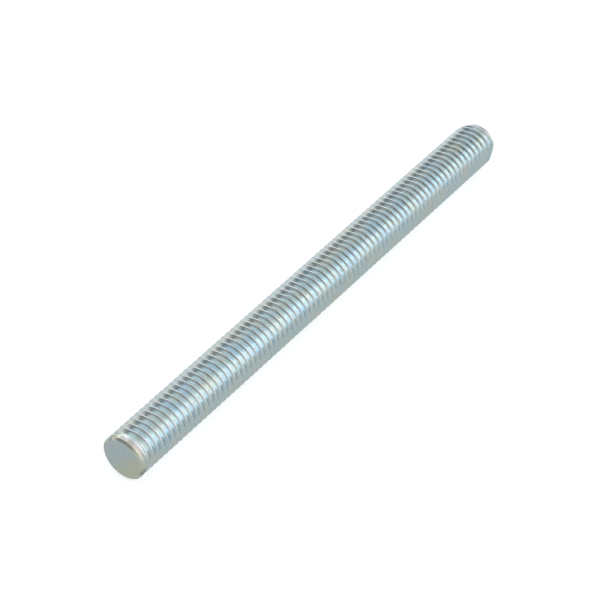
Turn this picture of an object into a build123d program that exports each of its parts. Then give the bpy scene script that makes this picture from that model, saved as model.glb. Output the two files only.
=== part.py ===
from build123d import *
from math import ceil, cos, pi, radians, sin, tan
import os

# Fully threaded rod of zinc-plated steel: one piece, lying along X.
# Its sawn, lightly bevelled end faces -X and its tapered lead-in end faces +X.
# The origin is under the middle of the rod, level with its lowest line, with +Z up.

# Overall sizes, in millimetres
thread_diameter = 8.0  # over the crests
overall_length = 101.5

# Thread: metric coarse, right-hand, one start
pitch = 1.25
flank_angle = 60.0  # between the two flanks of a groove
first_crest = 0.9  # from the sawn face to the first crest, along the top of the rod

# Sawn end: a flat face inside a narrow bevel
sawn_face_diameter = 7.1
sawn_bevel_angle = 45.0  # between the bevel and the rod's axis

# Lead-in end: a flat face inside a longer taper, so that a nut starts easily
lead_face_diameter = 6.3
lead_length = 2.0  # along the rod, from full diameter to the face

# The thread's form follows from its pitch
thread_radius = thread_diameter / 2
half_flank = radians(flank_angle / 2)
sharp_height = pitch / 2 / tan(half_flank)
thread_depth = sharp_height * 17 / 24
core_radius = thread_radius - thread_depth
crest_width = pitch / 8
root_width = pitch - crest_width - 2 * thread_depth * tan(half_flank)

# Places along the rod, and its height
sawn_x = -overall_length / 2
lead_x = overall_length / 2
axis_z = thread_radius
rod_axis = Axis((0, 0, axis_z), (1, 0, 0))

# The thread is laid down in equal blocks of whole turns, which meet at flat sections
block_turns = 3
block_length = block_turns * pitch
thread_start = sawn_x + first_crest - ceil(first_crest / pitch + 1) * pitch
block_count = ceil((lead_x - thread_start) / block_length)

# The taper at each end is cut by a ring whose inner side is the cone
ring_margin = pitch  # how far the rings reach outside the rod, and past its ends
sawn_slope = tan(radians(sawn_bevel_angle))
lead_slope = (thread_diameter - lead_face_diameter) / 2 / lead_length


def around(radius, along):
    """Point of the thread's cross-section whose surface stands at a radius, a way along one pitch."""
    turn = -2 * pi * along / pitch
    return (radius * cos(turn), radius * sin(turn))


def flank(start, start_radius, end, end_radius):
    """Points down or up one flank: its radius changes evenly with the angle."""
    steps = 6
    shares = [step / steps for step in range(steps + 1)]
    return [
        around(start_radius + share * (end_radius - start_radius), start + share * (end - start))
        for share in shares
    ]


def cone_ring(face_x, face_radius, slope, outward):
    """Ring to cut away outside a cone that narrows to a face, with outward = -1 or 1 along X."""
    rise = thread_radius + ring_margin - face_radius
    with BuildPart() as ring:
        with BuildSketch(Plane.XZ):
            with BuildLine():
                Polyline(
                    (face_x + outward * ring_margin, axis_z + face_radius - ring_margin * slope),
                    (face_x - outward * rise / slope, axis_z + face_radius + rise),
                    (face_x + outward * ring_margin, axis_z + face_radius + rise),
                    close=True,
                )
            make_face()
        revolve(axis=rod_axis)
    return ring.part


# A few turns of full thread: the cross-section, turned evenly as it moves along the rod
crest_end = crest_width / 2
root_start = (pitch - root_width) / 2
root_end = (pitch + root_width) / 2
with BuildPart() as thread_block:
    with BuildSketch(Plane((0, 0, axis_z), x_dir=(0, 0, 1), z_dir=(1, 0, 0))) as section:
        with BuildLine():
            ThreePointArc(
                around(thread_radius, -crest_end),
                around(thread_radius, 0),
                around(thread_radius, crest_end),
            )
            Spline(*flank(crest_end, thread_radius, root_start, core_radius))
            ThreePointArc(
                around(core_radius, root_start),
                around(core_radius, pitch / 2),
                around(core_radius, root_end),
            )
            Spline(*flank(root_end, core_radius, pitch - crest_end, thread_radius))
        make_face()
    with BuildLine() as block_line:
        Line((0, 0, axis_z), (block_length, 0, axis_z))
    with BuildLine() as block_helix:
        Helix(
            pitch=pitch,
            height=block_length,
            radius=thread_radius,
            center=(0, 0, axis_z),
            direction=(1, 0, 0),
        )
    sweep(sections=section.sketch, path=block_line.line, binormal=block_helix.edge())

sawn_ring = cone_ring(sawn_x, sawn_face_diameter / 2, sawn_slope, -1)
lead_ring = cone_ring(lead_x, lead_face_diameter / 2, lead_slope, 1)
sawn_plane = Plane((sawn_x, 0, axis_z), z_dir=(1, 0, 0))
lead_plane = Plane((lead_x, 0, axis_z), z_dir=(-1, 0, 0))

# The blocks stand end to end, those at the rod's ends trimmed, and give the rod its skin
skin = []
for number in range(block_count):
    block_x = thread_start + number * block_length
    block_end = block_x + block_length
    with BuildPart() as block:
        with Locations((block_x, 0, 0)):
            add(thread_block.part)
        if block_x < sawn_x:
            split(bisect_by=sawn_plane, keep=Keep.TOP)
        if block_end > lead_x:
            split(bisect_by=lead_plane, keep=Keep.TOP)
        if block_x < sawn_x + (thread_radius - sawn_face_diameter / 2) / sawn_slope:
            add(sawn_ring, mode=Mode.SUBTRACT)
        if block_end > lead_x - lead_length:
            add(lead_ring, mode=Mode.SUBTRACT)
    for face in block.faces():
        joint = face.geom_type == GeomType.PLANE and sawn_x < round(face.center().X, 6) < lead_x
        if not joint:
            skin.append(face)

with BuildPart() as threaded_rod:
    add(Solid(Shell(skin)))

threaded_rod.part.label = "threaded_rod"

os.makedirs("parts", exist_ok=True)
export_step(threaded_rod.part, "parts/threaded_rod.step")
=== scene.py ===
from math import cos, pi, radians, sin, tan

import bmesh
import bpy
from bpy.props import FloatProperty, PointerProperty
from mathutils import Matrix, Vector


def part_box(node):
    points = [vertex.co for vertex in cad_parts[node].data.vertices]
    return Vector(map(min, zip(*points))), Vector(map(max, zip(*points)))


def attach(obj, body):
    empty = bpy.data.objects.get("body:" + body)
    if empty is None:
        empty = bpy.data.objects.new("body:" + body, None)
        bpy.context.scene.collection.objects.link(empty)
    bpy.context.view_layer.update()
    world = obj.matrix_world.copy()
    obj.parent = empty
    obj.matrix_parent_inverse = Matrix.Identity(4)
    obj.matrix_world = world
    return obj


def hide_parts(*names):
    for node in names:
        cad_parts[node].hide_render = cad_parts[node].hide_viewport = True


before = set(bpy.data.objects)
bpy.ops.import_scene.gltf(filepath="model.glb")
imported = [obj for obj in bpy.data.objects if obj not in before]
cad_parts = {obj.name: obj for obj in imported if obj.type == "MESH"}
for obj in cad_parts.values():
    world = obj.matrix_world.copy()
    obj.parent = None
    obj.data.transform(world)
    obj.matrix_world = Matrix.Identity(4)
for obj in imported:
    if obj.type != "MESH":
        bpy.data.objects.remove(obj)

bl_info = {
    "name": "Threaded Rod",
    "version": (1, 0, 0),
    "blender": (4, 5, 0),
    "location": "View3D > Sidebar > Threaded Rod",
    "description": "Rolls a zinc-plated threaded rod around its packed solid, and sets up a studio for it",
    "category": "Add Mesh",
}

NODE = "threaded_rod"  # the rod's node in the frame
BODY = "root"
MM = 0.001

ROD_LOW, ROD_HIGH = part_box(NODE)
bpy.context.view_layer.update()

# The mesh is rolled in steps round each turn
STEPS_PER_TURN = 48
ARC_STEPS = 3
MERGE_DISTANCE = 2e-6
END_CUTS = 2
SHARP_ANGLE = radians(38)

# Sawn end, outwards from its face: distance from the face and radius, in millimetres
SAWN_PROFILE = (
    (0.0, 3.55),
    (0.03, 3.61),
    (0.16, 3.80),
    (0.21, 3.88),
    (0.25, 3.95),
    (0.29, 3.985),
    (0.34, 3.985),
    (0.40, 3.975),
    (0.45, 3.975),
)
COLLAR_CUT = 0.55 * MM  # from the sawn face to where the rolled thread takes over
SAWN_STEPS = 96

# Soft lamps of the studio, seen from the rod: azimuth from +X towards +Y, elevation and half
# width in degrees, and colour at full strength
STUDIO_STRENGTH = 3.0
AMBIENT = "#2F352B"
GLOWS = (
    (105, 0, 36, "#A7A6AA"),
    (195, 0, 24, "#6F6F72"),
    (270, 0, 24, "#96B6CE"),
    (150, 12, 24, "#373A45"),
    (315, 12, 55, "#9B8F94"),
    (45, 24, 36, "#929491"),
    (165, 24, 24, "#57575A"),
    (255, 24, 36, "#989E9E"),
    (15, 36, 55, "#7E7781"),
    (270, 36, 24, "#90A4AE"),
    (90, 65, 36, "#97A6AE"),
    (255, 65, 36, "#99A7B1"),
)

# White card under the rod: how far from the rod's line, and its brightness in reflections
CARD_REACH = 0.12
CARD_STRENGTH = 1.5
CARD_GLOW = (
    (0, "#A4AAA8"),
    (0.1, "#ACB5B6"),
    (0.25, "#B4BFC1"),
    (0.6, "#E1DDDA"),
    (1, "#B4BCC2"),
)



# Properties -----------------------------------------------------------------------------------


class RodSizes(bpy.types.PropertyGroup):
    """Sizes of the rod and its thread, in metres"""

    pitch: FloatProperty(
        name="Pitch",
        description="Distance from one crest to the next, along the rod",
        default=1.25 * MM,
        unit="LENGTH",
    )
    first_crest: FloatProperty(
        name="First crest",
        description="From the sawn face to the first crest, along the top of the rod",
        default=1.5 * MM,
        unit="LENGTH",
    )
    crest_round: FloatProperty(
        name="Crest rounding",
        description="Radius that rolling leaves on the corners of the crest",
        default=0.06 * MM,
        unit="LENGTH",
    )
    collar_length: FloatProperty(
        name="Collar length",
        description="Length beside the sawn face where the groove has not formed yet",
        default=1.3 * MM,
        unit="LENGTH",
    )
    lead_face_radius: FloatProperty(
        name="Lead-in face radius",
        description="Radius of the flat face at the tapered end",
        default=3.15 * MM,
        unit="LENGTH",
    )
    lead_length: FloatProperty(
        name="Lead-in length",
        description="Length of the taper at the lead-in end",
        default=2.0 * MM,
        unit="LENGTH",
    )


class StageSettings(bpy.types.PropertyGroup):
    """Where the camera stands and how strongly the studio is lit"""

    azimuth: FloatProperty(
        name="Azimuth",
        description="Direction of the camera round the rod, 0 looking along +Y",
        default=radians(-54.06),
        subtype="ANGLE",
    )
    elevation: FloatProperty(
        name="Elevation",
        description="Height of the camera above the floor, as an angle",
        default=radians(40.5),
        subtype="ANGLE",
    )
    distance: FloatProperty(
        name="Distance",
        description="From the camera to the point it looks at",
        default=0.448,
        unit="LENGTH",
    )
    lens: FloatProperty(
        name="Lens",
        description="Focal length of the camera, in millimetres",
        default=161.67,
    )
    aim_along: FloatProperty(
        name="Aim along the rod",
        description="From the middle of the rod to the point the camera looks at",
        default=-3.684 * MM,
        unit="LENGTH",
    )


# Materials ------------------------------------------------------------------------------------


def linear(hex_colour):
    """An sRGB hex colour as the linear RGBA that the shaders take."""
    channels = [int(hex_colour[i : i + 2], 16) / 255 for i in (1, 3, 5)]
    return [c / 12.92 if c <= 0.04045 else ((c + 0.055) / 1.055) ** 2.4 for c in channels] + [1.0]


def add_node(tree, kind, settings=(), **inputs):
    """Adds a node with its settings, and inputs by name: a value, or a socket to link."""
    node = tree.nodes.new(kind)
    for name, value in dict(settings).items():
        setattr(node, name, value)
    for name, value in inputs.items():
        socket = node.inputs[int(name[1:])] if name[1:].isdigit() else node.inputs[name.replace("_", " ")]
        if isinstance(value, bpy.types.NodeSocket):
            tree.links.new(value, socket)
        else:
            socket.default_value = value
    return node


def new_material(name):
    """An empty node material, with its Principled shader linked to the output."""
    material = bpy.data.materials.new(name)
    material.use_nodes = True
    return material, material.node_tree, material.node_tree.nodes["Principled BSDF"]


def colour_ramp(tree, factor, *stops):
    """A colour ramp through (position, hex colour) stops."""
    ramp = add_node(tree, "ShaderNodeValToRGB", Fac=factor)
    elements = ramp.color_ramp.elements
    while len(elements) < len(stops):
        elements.new(1.0)
    for element, (position, colour) in zip(elements, stops):
        element.position = position
        element.color = linear(colour)
    return ramp.outputs["Color"]


def noise_at(tree, place, size_mm, detail=3.0, roughness=0.5):
    """Noise whose blotches are about a size across, in millimetres."""
    return add_node(
        tree,
        "ShaderNodeTexNoise",
        Vector=place,
        Scale=1 / (size_mm * MM),
        Detail=detail,
        Roughness=roughness,
    ).outputs["Fac"]


def share_between(tree, value, start, end):
    """0 where a value is at start, 1 where it reaches end, with an even S between."""
    return add_node(
        tree,
        "ShaderNodeMapRange",
        {"interpolation_type": "SMOOTHSTEP"},
        Value=value,
        From_Min=start,
        From_Max=end,
    ).outputs["Result"]


def mixed(tree, share, colour, over):
    """One colour laid over another by a share: hex colours, or sockets."""
    node = add_node(tree, "ShaderNodeMixRGB", Fac=share)
    for socket, value in ((node.inputs["Color1"], colour), (node.inputs["Color2"], over)):
        if isinstance(value, str):
            socket.default_value = linear(value)
        else:
            tree.links.new(value, socket)
    return node.outputs["Color"]


def product(tree, first, second):
    """Two values multiplied."""
    node = add_node(tree, "ShaderNodeMath", {"operation": "MULTIPLY"}, _0=first, _1=second)
    return node.outputs["Value"]


def plated_steel():
    """Bright zinc plate on rolled steel: a pale grey metal with a faint blue-green passivate, smooth
    from rolling, straw-coloured beside the saw cut, with a few brown stains and specks."""
    material, tree, shader = new_material("zinc_plated_steel_rolled")
    place = add_node(tree, "ShaderNodeTexCoord").outputs["Object"]
    along = add_node(tree, "ShaderNodeSeparateXYZ", Vector=place).outputs["X"]
    tint = noise_at(tree, place, 3.0, 2.0)
    zinc = colour_ramp(
        tree, tint, (0.35, "#CCD9DF"), (0.47, "#D2DBDD"), (0.56, "#D5DCDA"), (0.68, "#D8D8D0")
    )
    beside_cut = share_between(tree, along, ROD_LOW[0] + 1.4 * MM, ROD_LOW[0] + 0.6 * MM)
    zinc = mixed(tree, beside_cut, zinc, "#D6D5C4")
    stained = product(tree, beside_cut, share_between(tree, noise_at(tree, place, 1.6), 0.5, 0.62))
    zinc = mixed(tree, stained, zinc, "#A0A6A8")
    stain = share_between(tree, noise_at(tree, place, 1.1, 3.0, 0.6), 0.62, 0.76)
    zinc = mixed(tree, stain, zinc, "#B9B7AA")
    speck = share_between(tree, noise_at(tree, place, 0.3, 1.0), 0.73, 0.80)
    zinc = mixed(tree, speck, zinc, "#7A7568")
    tree.links.new(zinc, shader.inputs["Base Color"])
    shader.inputs["Metallic"].default_value = 1.0
    mottle = noise_at(tree, place, 0.7, 3.0)
    rough = add_node(
        tree, "ShaderNodeMapRange", Value=mottle, From_Min=0.3, From_Max=0.7, To_Min=0.2, To_Max=0.28
    )
    tree.links.new(rough.outputs["Result"], shader.inputs["Roughness"])
    grain = noise_at(tree, place, 0.3, 2.0)
    bump = add_node(tree, "ShaderNodeBump", Strength=0.12, Distance=0.01 * MM, Height=grain)
    tree.links.new(bump.outputs["Normal"], shader.inputs["Normal"])
    return material


def sawn_steel():
    """The end faces, plated over saw marks: duller, blue-grey with violet blotches, and straw-coloured
    towards their lower edge on the -Y side, across a diagonal of the face."""
    material, tree, shader = new_material("zinc_plated_steel_sawn")
    place = add_node(tree, "ShaderNodeTexCoord").outputs["Object"]
    parts = add_node(tree, "ShaderNodeSeparateXYZ", Vector=place)
    diagonal = add_node(
        tree, "ShaderNodeMath", {"operation": "ADD"}, _0=parts.outputs["Y"], _1=parts.outputs["Z"]
    ).outputs["Value"]
    axis_z = (ROD_LOW[2] + ROD_HIGH[2]) / 2
    blotch = noise_at(tree, place, 1.8, 3.0)
    grey = colour_ramp(
        tree, blotch, (0.35, "#CBD6DB"), (0.48, "#D1D9DA"), (0.56, "#D4D3DA"), (0.68, "#D1D4D3")
    )
    # Straw colour blended in along a diagonal of the face, strongest at its lower edge on the -Y side
    towards_low_edge = share_between(tree, diagonal, axis_z + 1.5 * MM, axis_z - 4.0 * MM)
    base = mixed(tree, towards_low_edge, grey, "#DBDAC9")
    tree.links.new(base, shader.inputs["Base Color"])
    shader.inputs["Metallic"].default_value = 1.0
    mottle = noise_at(tree, place, 0.5, 4.0, 0.6)
    rough = add_node(
        tree, "ShaderNodeMapRange", Value=mottle, From_Min=0.3, From_Max=0.7, To_Min=0.4, To_Max=0.55
    )
    tree.links.new(rough.outputs["Result"], shader.inputs["Roughness"])
    grain = noise_at(tree, place, 0.3, 4.0, 0.6)
    bump = add_node(tree, "ShaderNodeBump", Strength=0.25, Distance=0.02 * MM, Height=grain)
    tree.links.new(bump.outputs["Normal"], shader.inputs["Normal"])
    return material


# The rod --------------------------------------------------------------------------------------


def smooth_share(value, start, end):
    """0 before start, 1 after end, and an even S between."""
    share = min(max((value - start) / (end - start), 0.0), 1.0)
    return share * share * (3 - 2 * share)


def thread_section(sizes, radius):
    """(along, radius) points of one groove, from the middle of a crest to the middle of the next.

    The flanks stand at 60 degrees to each other, the crest keeps an eighth of the pitch flat, and
    the root is round.
    """
    pitch = sizes.pitch
    flank = radians(30)
    depth = pitch / 2 / tan(flank) * 17 / 24
    half_crest = pitch / 16
    half_root = pitch / 2 - half_crest - depth * tan(flank)
    turn = pi / 2 - flank
    crest_tangent = sizes.crest_round * tan(turn / 2)
    root_round = half_root / tan(turn / 2)
    half = [(0.0, radius)]
    for step in range(ARC_STEPS + 1):
        angle = turn * step / ARC_STEPS
        along = half_crest - crest_tangent + sizes.crest_round * sin(angle)
        half.append((along, radius - sizes.crest_round * (1 - cos(angle))))
    for step in range(ARC_STEPS, -1, -1):
        angle = turn * step / ARC_STEPS
        along = pitch / 2 - root_round * sin(angle)
        half.append((along, radius - depth + root_round * (1 - cos(angle))))
    return half + [(pitch - along, height) for along, height in half[-2::-1]]


def roll_thread(mesh, sizes, axis_z, start_x, turns):
    """One turn of thread is spun round the rod's axis, then repeated along it."""
    radius = axis_z - ROD_LOW[2]
    section = [
        mesh.verts.new((start_x + along, 0.0, axis_z + height))
        for along, height in thread_section(sizes, radius)
    ]
    edges = [mesh.edges.new(pair) for pair in zip(section, section[1:])]
    bmesh.ops.spin(
        mesh,
        geom=section + edges,
        cent=(0.0, 0.0, axis_z),
        axis=(1.0, 0.0, 0.0),
        dvec=(sizes.pitch / STEPS_PER_TURN, 0.0, 0.0),
        angle=2 * pi,
        steps=STEPS_PER_TURN,
        use_merge=False,
    )
    one_turn = mesh.verts[:] + mesh.edges[:] + mesh.faces[:]
    for number in range(1, turns):
        copy = bmesh.ops.duplicate(mesh, geom=one_turn)
        verts = [item for item in copy["geom"] if isinstance(item, bmesh.types.BMVert)]
        bmesh.ops.translate(mesh, verts=verts, vec=(number * sizes.pitch, 0.0, 0.0))
    bmesh.ops.remove_doubles(mesh, verts=mesh.verts, dist=MERGE_DISTANCE)


def refine_between(mesh, low_x, high_x):
    """Smaller faces between two places along the rod, so that its ends cut cleanly."""
    edges = [edge for edge in mesh.edges if all(low_x < v.co.x < high_x for v in edge.verts)]
    bmesh.ops.subdivide_edges(mesh, edges=edges, cuts=END_CUTS, use_grid_fill=True)


def cut_square(mesh, x, side):
    """Cuts the rod square at x, drops what lies on that side, and returns the open rim."""
    cut = bmesh.ops.bisect_plane(
        mesh,
        geom=mesh.verts[:] + mesh.edges[:] + mesh.faces[:],
        dist=MERGE_DISTANCE / 10,
        plane_co=(x, 0.0, 0.0),
        plane_no=(side, 0.0, 0.0),
        clear_outer=True,
    )
    return [item for item in cut["geom_cut"] if isinstance(item, bmesh.types.BMEdge)]


def rim_at(edges, x):
    """The open edges that lie at one place along the rod."""
    return [
        edge
        for edge in edges
        if edge.is_boundary and all(abs(v.co.x - x) < MERGE_DISTANCE for v in edge.verts)
    ]


def spin_sawn_end(mesh, axis_z):
    """Spins the bevel, rim and collar of the sawn end, and returns the edges."""
    profile = [
        mesh.verts.new((ROD_LOW[0] + depth * MM, 0.0, axis_z + radius * MM))
        for depth, radius in SAWN_PROFILE
    ]
    edges = [mesh.edges.new(pair) for pair in zip(profile, profile[1:])]
    before = set(mesh.edges)
    bmesh.ops.spin(
        mesh,
        geom=profile + edges,
        cent=(0.0, 0.0, axis_z),
        axis=(1.0, 0.0, 0.0),
        angle=2 * pi,
        steps=SAWN_STEPS,
        use_merge=True,
    )
    return [edge for edge in mesh.edges if edge not in before] + edges


def close_flat(mesh, rim):
    """One flat face over an open rim, with a sharp edge round it."""
    for face in bmesh.ops.edgeloop_fill(mesh, edges=rim)["faces"]:
        face.smooth = False
        face.material_index = 1
        for edge in face.edges:
            edge.smooth = False


def shape_thread(mesh, sizes, axis_z):
    """Fades the groove out towards the sawn end, and tapers the thread at the lead-in end."""
    radius = axis_z - ROD_LOW[2]
    lead_slope = (radius - sizes.lead_face_radius) / sizes.lead_length
    for vert in mesh.verts:
        out = Vector((0.0, vert.co.y, vert.co.z - axis_z))
        from_sawn = max(vert.co.x - ROD_LOW[0], 0.0)
        from_lead = max(ROD_HIGH[0] - vert.co.x, 0.0)
        groove = radius - out.length
        formed = smooth_share(from_sawn, 0.7 * sizes.collar_length, 1.5 * sizes.collar_length)
        height = radius - groove * formed
        height = min(height, sizes.lead_face_radius + from_lead * lead_slope)
        out *= height / out.length
        vert.co = (vert.co.x, out.y, axis_z + out.z)


def build_rod_mesh(sizes):
    """The whole rod: thread, collar and bevel at the sawn end, taper at the lead-in end."""
    mesh = bmesh.new()
    axis_z = (ROD_LOW[2] + ROD_HIGH[2]) / 2
    sawn_x, lead_x = ROD_LOW[0], ROD_HIGH[0]
    pitch = sizes.pitch
    start_x = sawn_x + sizes.first_crest - 3 * pitch
    turns = int((lead_x - start_x) / pitch) + 3
    roll_thread(mesh, sizes, axis_z, start_x, turns)
    bmesh.ops.bisect_plane(
        mesh,
        geom=mesh.verts[:] + mesh.edges[:] + mesh.faces[:],
        plane_co=(sawn_x - pitch, 0.0, 0.0),
        plane_no=(-1.0, 0.0, 0.0),
        clear_outer=True,
    )
    refine_between(mesh, sawn_x - pitch, sawn_x + 2 * pitch)
    refine_between(mesh, lead_x - sizes.lead_length - pitch / 2, lead_x + pitch / 2)
    shape_thread(mesh, sizes, axis_z)
    collar_rim = cut_square(mesh, sawn_x + COLLAR_CUT, -1.0)
    lead_rim = cut_square(mesh, lead_x, 1.0)
    for face in mesh.faces:
        face.smooth = True
    spun = spin_sawn_end(mesh, axis_z)
    for face in {face for edge in spun for face in edge.link_faces}:
        face.smooth = True
    outer = rim_at(spun, sawn_x + SAWN_PROFILE[-1][0] * MM)
    for face in bmesh.ops.bridge_loops(mesh, edges=collar_rim + outer)["faces"]:
        face.smooth = True
    close_flat(mesh, rim_at(spun, sawn_x))
    close_flat(mesh, lead_rim)
    bmesh.ops.recalc_face_normals(mesh, faces=mesh.faces)
    tapered_from = lead_x - sizes.lead_length - pitch / 2
    for edge in mesh.edges:
        if edge.verts[0].co.x > tapered_from and len(edge.link_faces) == 2:
            if edge.calc_face_angle() > SHARP_ANGLE:
                edge.smooth = False
    return mesh


class MESH_OT_build_threaded_rod(bpy.types.Operator):
    """Roll the threaded rod's mesh, plate it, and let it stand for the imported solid"""

    bl_idname = "mesh.build_threaded_rod"
    bl_label = "Build Threaded Rod"

    def execute(self, context):
        mesh = build_rod_mesh(context.scene.rod_sizes)
        data = bpy.data.meshes.new("threaded_rod_rolled")
        mesh.to_mesh(data)
        mesh.free()
        rod = bpy.data.objects.new("threaded_rod_rolled", data)
        context.scene.collection.objects.link(rod)
        data.materials.append(plated_steel())
        data.materials.append(sawn_steel())
        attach(rod, BODY)
        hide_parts(NODE)
        return {"FINISHED"}


# The stage ------------------------------------------------------------------------------------


def floor_material():
    """Matt white card: pure white except where the rod shades it, and in the rod's reflections
    brighter away from the rod, where the lamps stand."""
    material = bpy.data.materials.new("white_card")
    material.use_nodes = True
    tree = material.node_tree
    tree.nodes.clear()
    path = add_node(tree, "ShaderNodeLightPath")
    glow = add_node(tree, "ShaderNodeEmission", Color=(1.0, 1.0, 1.0, 1.0), Strength=0.7)
    none = add_node(tree, "ShaderNodeEmission", Color=(0.0, 0.0, 0.0, 1.0), Strength=0.0)
    matt = add_node(tree, "ShaderNodeBsdfDiffuse", Color=(0.5, 0.5, 0.5, 1.0))
    shown = add_node(
        tree,
        "ShaderNodeMixShader",
        _0=path.outputs["Is Camera Ray"],
        _1=none.outputs["Emission"],
        _2=glow.outputs["Emission"],
    )
    card = add_node(
        tree, "ShaderNodeAddShader", _0=matt.outputs["BSDF"], _1=shown.outputs["Shader"]
    )
    place = add_node(tree, "ShaderNodeTexCoord").outputs["Object"]
    across = add_node(tree, "ShaderNodeSeparateXYZ", Vector=place).outputs["Y"]
    away = add_node(tree, "ShaderNodeMath", {"operation": "ABSOLUTE"}, _0=across).outputs["Value"]
    share = add_node(
        tree, "ShaderNodeMath", {"operation": "DIVIDE"}, _0=away, _1=CARD_REACH
    ).outputs["Value"]
    colour = colour_ramp(tree, share, *CARD_GLOW)
    lit = add_node(tree, "ShaderNodeEmission", Color=colour, Strength=CARD_STRENGTH)
    both = add_node(
        tree,
        "ShaderNodeMixShader",
        _0=path.outputs["Is Glossy Ray"],
        _1=card.outputs["Shader"],
        _2=lit.outputs["Emission"],
    )
    add_node(tree, "ShaderNodeOutputMaterial", Surface=both.outputs["Shader"])
    return material


def build_world():
    """A dim studio with soft lamps round the rod, which is white where the camera sees it."""
    world = bpy.data.worlds.new("studio")
    bpy.context.scene.world = world
    world.use_nodes = True
    tree = world.node_tree
    tree.nodes.clear()
    direction = add_node(tree, "ShaderNodeTexCoord").outputs["Generated"]
    light = add_node(tree, "ShaderNodeRGB").outputs["Color"]
    light.default_value = linear(AMBIENT)
    for azimuth, elevation, half_width, colour in GLOWS:
        a, e, half = radians(azimuth), radians(elevation), radians(half_width)
        towards = (cos(a) * cos(e), sin(a) * cos(e), sin(e))
        facing = add_node(
            tree, "ShaderNodeVectorMath", {"operation": "DOT_PRODUCT"}, _0=direction, _1=towards
        )
        share = share_between(tree, facing.outputs["Value"], cos(half), 1.0)
        light = add_node(
            tree,
            "ShaderNodeMixRGB",
            {"blend_type": "ADD"},
            Fac=share,
            Color1=light,
            Color2=linear(colour),
        ).outputs["Color"]
    studio = add_node(tree, "ShaderNodeBackground", Color=light, Strength=STUDIO_STRENGTH)
    white = add_node(tree, "ShaderNodeBackground", Color=(1.0, 1.0, 1.0, 1.0), Strength=1.0)
    path = add_node(tree, "ShaderNodeLightPath")
    shown = add_node(
        tree,
        "ShaderNodeMixShader",
        _0=path.outputs["Is Camera Ray"],
        _1=studio.outputs["Background"],
        _2=white.outputs["Background"],
    )
    add_node(tree, "ShaderNodeOutputWorld", Surface=shown.outputs["Shader"])


class SCENE_OT_build_rod_stage(bpy.types.Operator):
    """Set up the floor, the studio light and the camera"""

    bl_idname = "scene.build_rod_stage"
    bl_label = "Build Rod Stage"

    def execute(self, context):
        settings = context.scene.rod_stage
        floor_mesh = bmesh.new()
        bmesh.ops.create_grid(floor_mesh, x_segments=1, y_segments=1, size=3.0)
        bmesh.ops.translate(floor_mesh, verts=floor_mesh.verts, vec=(0.0, 0.0, ROD_LOW[2]))
        data = bpy.data.meshes.new("floor")
        floor_mesh.to_mesh(data)
        floor_mesh.free()
        floor = bpy.data.objects.new("floor", data)
        data.materials.append(floor_material())
        context.scene.collection.objects.link(floor)
        build_world()

        centre = (Vector(ROD_LOW) + Vector(ROD_HIGH)) / 2
        aim = centre + Vector((settings.aim_along, 0.0, 0.0))
        a, e = settings.azimuth, settings.elevation
        away = Vector((sin(a) * cos(e), -cos(a) * cos(e), sin(e)))
        camera_data = bpy.data.cameras.new("camera")
        camera_data.lens = settings.lens
        camera_data.clip_start = 0.01
        camera = bpy.data.objects.new("camera", camera_data)
        camera.location = aim + settings.distance * away
        camera.rotation_euler = (-away).to_track_quat("-Z", "Y").to_euler()
        context.scene.collection.objects.link(camera)
        context.scene.camera = camera
        context.scene.view_settings.view_transform = "Standard"
        return {"FINISHED"}


# The panel ------------------------------------------------------------------------------------


class VIEW3D_PT_threaded_rod(bpy.types.Panel):
    """Sizes and stage of the threaded rod"""

    bl_label = "Threaded Rod"
    bl_space_type = "VIEW_3D"
    bl_region_type = "UI"
    bl_category = "Threaded Rod"

    def draw(self, context):
        for group in (context.scene.rod_sizes, context.scene.rod_stage):
            for name in group.__annotations__:
                self.layout.prop(group, name)
        for operator in OPERATORS:
            self.layout.operator(operator.bl_idname)


OPERATORS = (MESH_OT_build_threaded_rod, SCENE_OT_build_rod_stage)
CLASSES = (RodSizes, StageSettings, *OPERATORS, VIEW3D_PT_threaded_rod)


def register():
    for cls in CLASSES:
        bpy.utils.register_class(cls)
    bpy.types.Scene.rod_sizes = PointerProperty(type=RodSizes)
    bpy.types.Scene.rod_stage = PointerProperty(type=StageSettings)


def unregister():
    del bpy.types.Scene.rod_sizes
    del bpy.types.Scene.rod_stage
    for cls in reversed(CLASSES):
        bpy.utils.unregister_class(cls)


def main():
    register()
    bpy.ops.mesh.build_threaded_rod()
    bpy.ops.scene.build_rod_stage()


if __name__ == "__main__":
    main()
